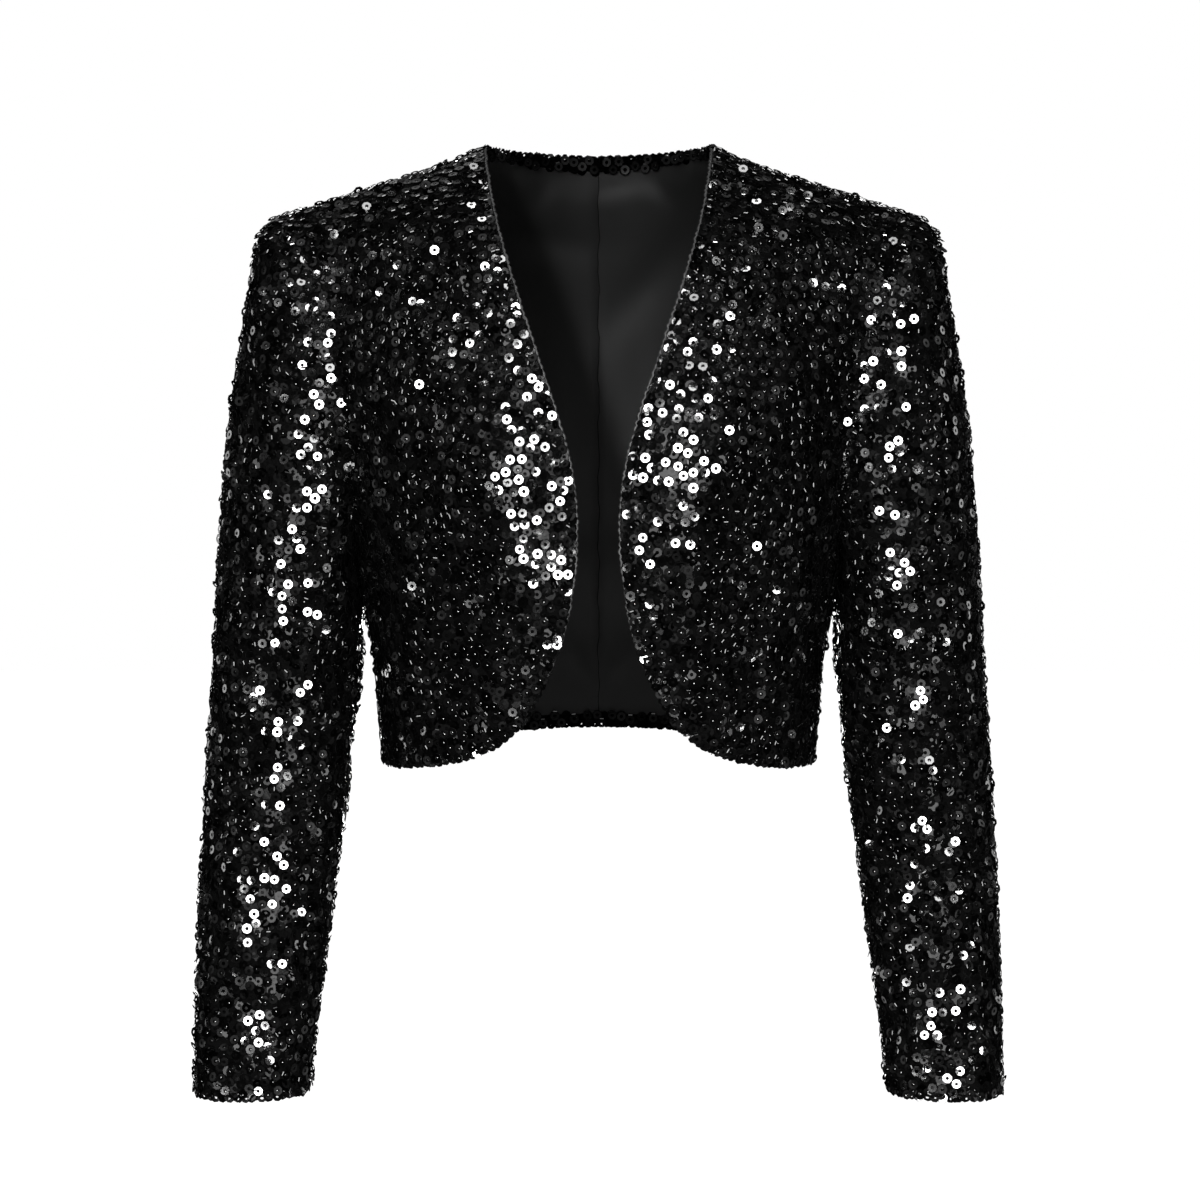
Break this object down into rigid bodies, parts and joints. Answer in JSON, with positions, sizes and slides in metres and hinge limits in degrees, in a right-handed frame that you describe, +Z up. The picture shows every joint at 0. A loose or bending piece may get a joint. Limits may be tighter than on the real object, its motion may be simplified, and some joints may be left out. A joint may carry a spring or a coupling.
{
  "type": "sequinned evening jacket",
  "caption": "Cropped collarless jacket with an open front, rounded lower corners and long set-in sleeves, covered in cup sequins, shown filled out as worn.",
  "frame": {"origin": "midway between the wearer's shoulders, at about the height of the middle of the shoulder seams and in their plane", "axes": "+Z up from hem to neck, -Y towards the wearer's front, +X towards the wearer's left"},
  "size_m": [0.5296, 0.2275, 0.6176],
  "materials": {
    "sequin_cloth": "black knit cloth covered with glossy black cup sequins",
    "lining_satin": "black satin with a soft sheen",
    "turned_edge": "the same sequinned black cloth, turned in at the neck and the hem"
  },
  "bodies": {
    "root": {"back": "sequin_cloth", "front_left": "sequin_cloth", "front_right": "sequin_cloth", "sleeve_left": "sequin_cloth", "sleeve_right": "sequin_cloth", "lining_left": "lining_satin", "lining_right": "lining_satin", "neck_edge": "turned_edge", "hem_edge": "turned_edge"}
  },
  "joints": []
}
